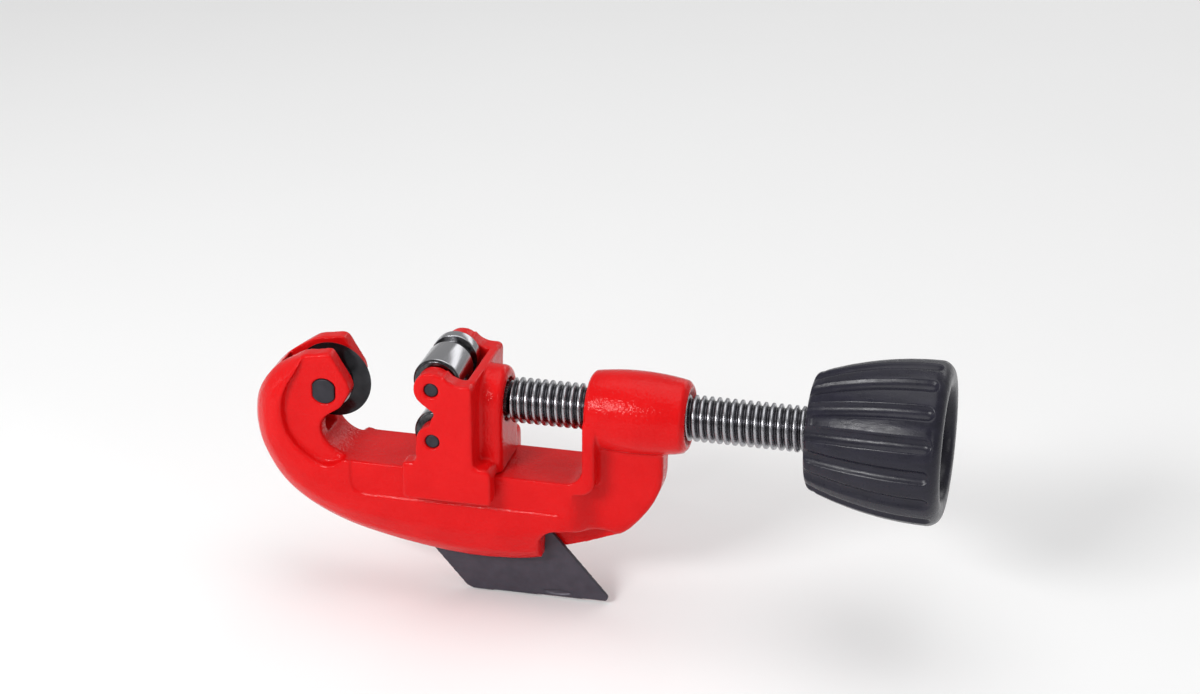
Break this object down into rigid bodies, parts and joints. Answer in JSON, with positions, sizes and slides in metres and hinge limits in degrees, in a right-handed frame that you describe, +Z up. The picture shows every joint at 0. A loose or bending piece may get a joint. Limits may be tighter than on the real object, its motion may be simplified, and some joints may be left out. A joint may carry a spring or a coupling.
{
  "type": "pipe cutter",
  "caption": "Hand-held C-frame cutter for copper tube: a screw spindle presses a two-roller carriage and the tube against a fixed cutting wheel; a deburring blade slides out below.",
  "frame": {"origin": "centre of the 15 mm tube that is held between the cutting wheel and the rollers at rest, on the spindle's axis and in the frame's middle plane", "axes": "+X along the spindle towards the knob, +Y along the held tube (across the tool), +Z up, away from the frame's rail"},
  "size_m": [0.1642, 0.0378, 0.07],
  "materials": {
    "red_paint": "gloss orange-peel paint on cast metal",
    "dark_steel": "blackened satin steel",
    "wheel_steel": "black oxide",
    "roller_steel": "polished steel",
    "thread_steel": "bright rolled thread",
    "plain_steel": "plain satin steel",
    "spring_steel": "spring steel",
    "blade_steel": "dark satin steel",
    "knob_plastic": "semi-gloss black plastic"
  },
  "bodies": {
    "frame": {"frame_casting": "red_paint", "wheel_axle": "dark_steel", "axle_retaining_ring": "spring_steel", "wheel_washer_front": "plain_steel", "wheel_washer_rear": "plain_steel", "blade_leaf_spring": "spring_steel"},
    "wheel": {"cutting_wheel": "wheel_steel"},
    "carriage": {"carriage_casting": "red_paint", "upper_roller_pin": "dark_steel", "lower_roller_pin": "dark_steel"},
    "roller_upper": {"upper_roller": "roller_steel"},
    "roller_lower": {"lower_roller": "roller_steel"},
    "screw": {"spindle": "thread_steel", "spindle_thrust_washer": "plain_steel", "spindle_retaining_ring": "spring_steel", "knob_body": "knob_plastic", "knob_hub": "plain_steel", "knob_washer": "plain_steel", "knob_screw": "plain_steel"},
    "blade": {"deburring_blade": "blade_steel", "blade_stop_stud": "plain_steel"}
  },
  "joints": [
    {"name": "carriage_slide", "type": "slide", "parent": "frame", "child": "carriage", "axis": [1, 0, 0], "range_m": [-0.0142, 0.0157]},
    {"name": "spindle_turn", "type": "hinge", "parent": "carriage", "child": "screw", "pos_m": [0.02, 0, 0], "axis": [1, 0, 0], "range_deg": [-2845, 3145]},
    {"name": "wheel_spin", "type": "hinge", "parent": "frame", "child": "wheel", "pos_m": [-0.01685, 0, 0.0004], "axis": [0, 1, 0], "continuous": true},
    {"name": "upper_roller_spin", "type": "hinge", "parent": "carriage", "child": "roller_upper", "pos_m": [0.01149, 0, 0.0065], "axis": [0, 1, 0], "continuous": true},
    {"name": "lower_roller_spin", "type": "hinge", "parent": "carriage", "child": "roller_lower", "pos_m": [0.01149, 0, -0.0065], "axis": [0, 1, 0], "continuous": true},
    {"name": "blade_slide", "type": "slide", "parent": "frame", "child": "blade", "axis": [-0.6521, 0, 0.7581], "range_m": [0, 0.0165]}
  ],
  "couplings": [
    {"joint": "spindle_turn", "follows": "carriage_slide", "rad_per_m": 3490.7}
  ]
}
